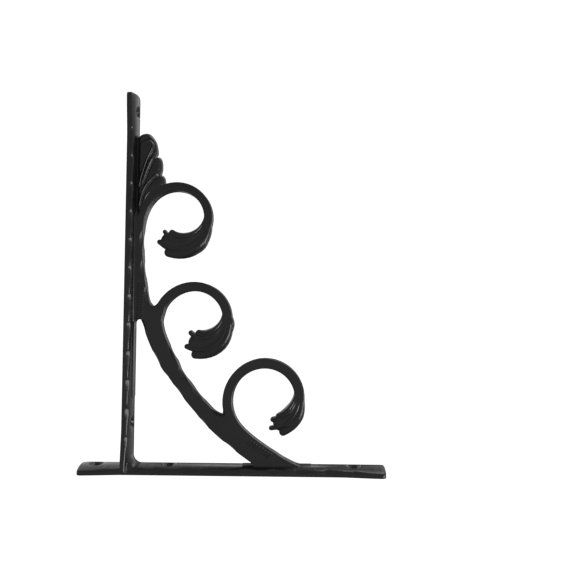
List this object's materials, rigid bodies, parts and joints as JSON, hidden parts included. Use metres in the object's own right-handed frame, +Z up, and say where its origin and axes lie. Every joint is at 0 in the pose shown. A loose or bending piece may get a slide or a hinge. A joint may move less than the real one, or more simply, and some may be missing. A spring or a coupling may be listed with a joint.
{
  "type": "shelf bracket",
  "caption": "Cast iron shelf bracket with a wall plate, a horizontal arm and a curved brace that carries leaf-tipped scrolls.",
  "frame": {"origin": "on the flat back of the wall plate, in its middle plane, level with the arm's flat top", "axes": "+X out from the wall along the arm, +Z up the wall, Y across the bracket"},
  "size_m": [0.3056, 0.0234, 0.2424],
  "materials": {
    "black_paint": "semi-gloss black paint over a lightly hammered casting"
  },
  "bodies": {
    "root": {"bracket_casting": "black_paint"}
  },
  "joints": []
}
